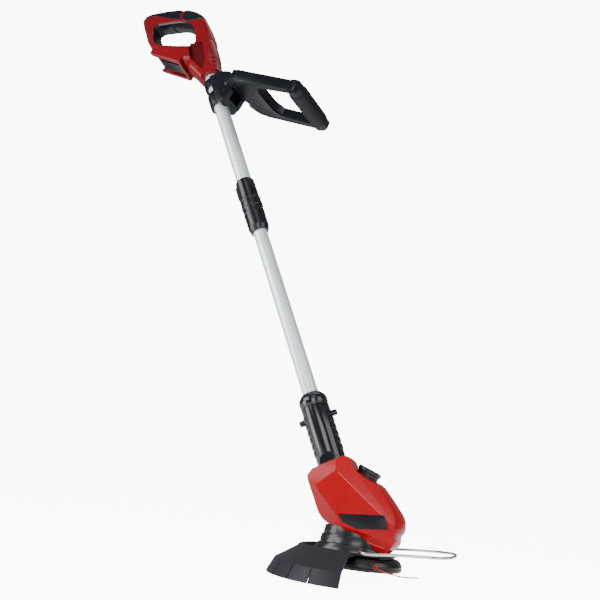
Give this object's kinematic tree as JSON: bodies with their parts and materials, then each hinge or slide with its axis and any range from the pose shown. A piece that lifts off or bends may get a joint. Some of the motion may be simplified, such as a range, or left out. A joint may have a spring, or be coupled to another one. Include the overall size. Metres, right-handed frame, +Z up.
{
  "type": "string trimmer",
  "caption": "Cordless string trimmer with a D-shaped rear handle, a loop handle, a telescopic shaft, a tilting motor head, a rear guard, a wire plant guard and a line spool.",
  "frame": {"origin": "centre of the rear grip, on the middle plane", "axes": "+X forward, to where the head points, +Y to the left of the person who holds it, +Z up; the shaft leans 23 degrees back from +Z as pictured"},
  "size_m": [0.6444, 0.2541, 1.0131],
  "materials": {
    "red_plastic": "gloss red",
    "steel": "bright",
    "soft_black": "satin black",
    "black_plastic": "satin black",
    "soft_rubber": "matt",
    "tube_metal": "anodised silver",
    "white_plastic": "satin white",
    "guard_plastic": "satin dark grey",
    "red_line": "satin red"
  },
  "bodies": {
    "handle": {"rear_shell_right": "red_plastic", "rear_shell_left": "red_plastic", "handle_screw_1": "steel", "handle_screw_2": "steel", "handle_screw_3": "steel", "trigger_pin": "steel", "switch_body": "black_plastic", "trigger_spring": "steel", "lock_off_spring": "steel", "terminal_block": "black_plastic", "grip_pad_top": "soft_rubber", "top_cover": "soft_black", "grip_pad_rear": "soft_rubber", "upper_tube": "tube_metal", "sleeve_collar": "black_plastic", "collet": "white_plastic", "power_cable": "black_plastic", "clamp_right": "black_plastic", "clamp_left": "black_plastic", "handle_bolt": "steel", "handle_nut": "steel", "clamp_screw": "steel"},
    "head": {"pod_shell_right": "red_plastic", "pod_shell_left": "red_plastic", "pod_screw_1": "steel", "pod_screw_2": "steel", "tilt_button_spring": "steel", "name_plate": "black_plastic", "motor_can": "steel", "lower_housing": "guard_plastic", "guard": "guard_plastic", "guard_screw_1": "steel", "guard_screw_2": "steel", "guard_screw_3": "steel", "line_cutter": "steel", "cutter_screw": "steel"},
    "trigger": {"trigger": "soft_black"},
    "lock_off": {"lock_off_button": "black_plastic"},
    "loop": {"loop_handle": "black_plastic", "loop_grip_cover": "soft_rubber"},
    "lock_nut": {"lock_nut": "black_plastic"},
    "lower_shaft": {"lower_tube": "tube_metal", "neck_collar": "black_plastic", "swivel_sleeve": "white_plastic"},
    "neck": {"neck_shell_right": "black_plastic", "neck_shell_left": "black_plastic", "tilt_pin_right": "steel", "tilt_pin_left": "steel"},
    "neck_button_front": {"neck_button_front": "black_plastic"},
    "neck_button_rear": {"neck_button_rear": "black_plastic"},
    "tilt_button": {"tilt_button": "black_plastic"},
    "wire_guard": {"wire_guard": "steel"},
    "cutting_head": {"motor_shaft": "steel", "spool_base": "black_plastic", "spool_cover": "black_plastic", "line_eyelet": "red_line", "spool_spring": "steel", "cutting_line": "red_line"},
    "reel": {"spool_reel": "red_line", "line_winding": "red_line"}
  },
  "joints": [
    {"name": "trigger_pull", "type": "hinge", "parent": "handle", "child": "trigger", "pos_m": [0.02, 0, -0.004], "axis": [0, -1, 0], "range_deg": [0, 8], "stiffness_Nm_per_rad": 0.4, "springref_deg": -5.73, "deforming": ["trigger_spring"]},
    {"name": "lock_off_press", "type": "slide", "parent": "handle", "child": "lock_off", "axis": [-0.3746, 0, -0.9272], "range_m": [0, 0.003], "stiffness_N_per_m": 500, "springref_m": -0.002, "deforming": ["lock_off_spring"]},
    {"name": "loop_tilt", "type": "hinge", "parent": "handle", "child": "loop", "pos_m": [0.17172, -0.00573, -0.18957], "axis": [0.1598, 0.9848, 0.0678], "range_deg": [-55, 10]},
    {"name": "lock_nut_twist", "type": "hinge", "parent": "handle", "child": "lock_nut", "pos_m": [0.23988, 0, -0.43332], "axis": [-0.3907, 0, 0.9205], "range_deg": [-70, 0]},
    {"name": "shaft_slide", "type": "slide", "parent": "handle", "child": "lower_shaft", "axis": [-0.3907, 0, 0.9205], "range_m": [0, 0.24], "deforming": ["power_cable"]},
    {"name": "neck_swivel", "type": "hinge", "parent": "lower_shaft", "child": "neck", "pos_m": [0.41622, 0, -0.84874], "axis": [-0.3907, 0, 0.9205], "range_deg": [0, 180]},
    {"name": "neck_button_front_press", "type": "slide", "parent": "neck", "child": "neck_button_front", "axis": [-0.9205, 0, -0.3907], "range_m": [0, 0.003], "stiffness_N_per_m": 500, "springref_m": -0.002},
    {"name": "neck_button_rear_press", "type": "slide", "parent": "neck", "child": "neck_button_rear", "axis": [0.9205, 0, 0.3907], "range_m": [0, 0.003], "stiffness_N_per_m": 500, "springref_m": -0.002},
    {"name": "head_tilt", "type": "hinge", "parent": "neck", "child": "head", "pos_m": [0.41622, 0, -0.84874], "axis": [0, 1, 0], "range_deg": [-20, 20], "deforming": ["power_cable"]},
    {"name": "tilt_button_press", "type": "slide", "parent": "head", "child": "tilt_button", "axis": [-0.3987, 0, -0.9171], "range_m": [0, 0.003], "stiffness_N_per_m": 500, "springref_m": -0.002, "deforming": ["tilt_button_spring"]},
    {"name": "wire_flip", "type": "hinge", "parent": "head", "child": "wire_guard", "pos_m": [0.47262, 0, -0.95444], "axis": [0, -1, 0], "range_deg": [0, 85]},
    {"name": "spool_spin", "type": "hinge", "parent": "head", "child": "cutting_head", "pos_m": [0.46962, 0, -0.99444], "axis": [0, 0, 1], "continuous": true},
    {"name": "reel_lift", "type": "slide", "parent": "cutting_head", "child": "reel", "axis": [0, 0, 1], "range_m": [0, 0.0024], "stiffness_N_per_m": 400, "springref_m": -0.002, "deforming": ["spool_spring"]}
  ]
}
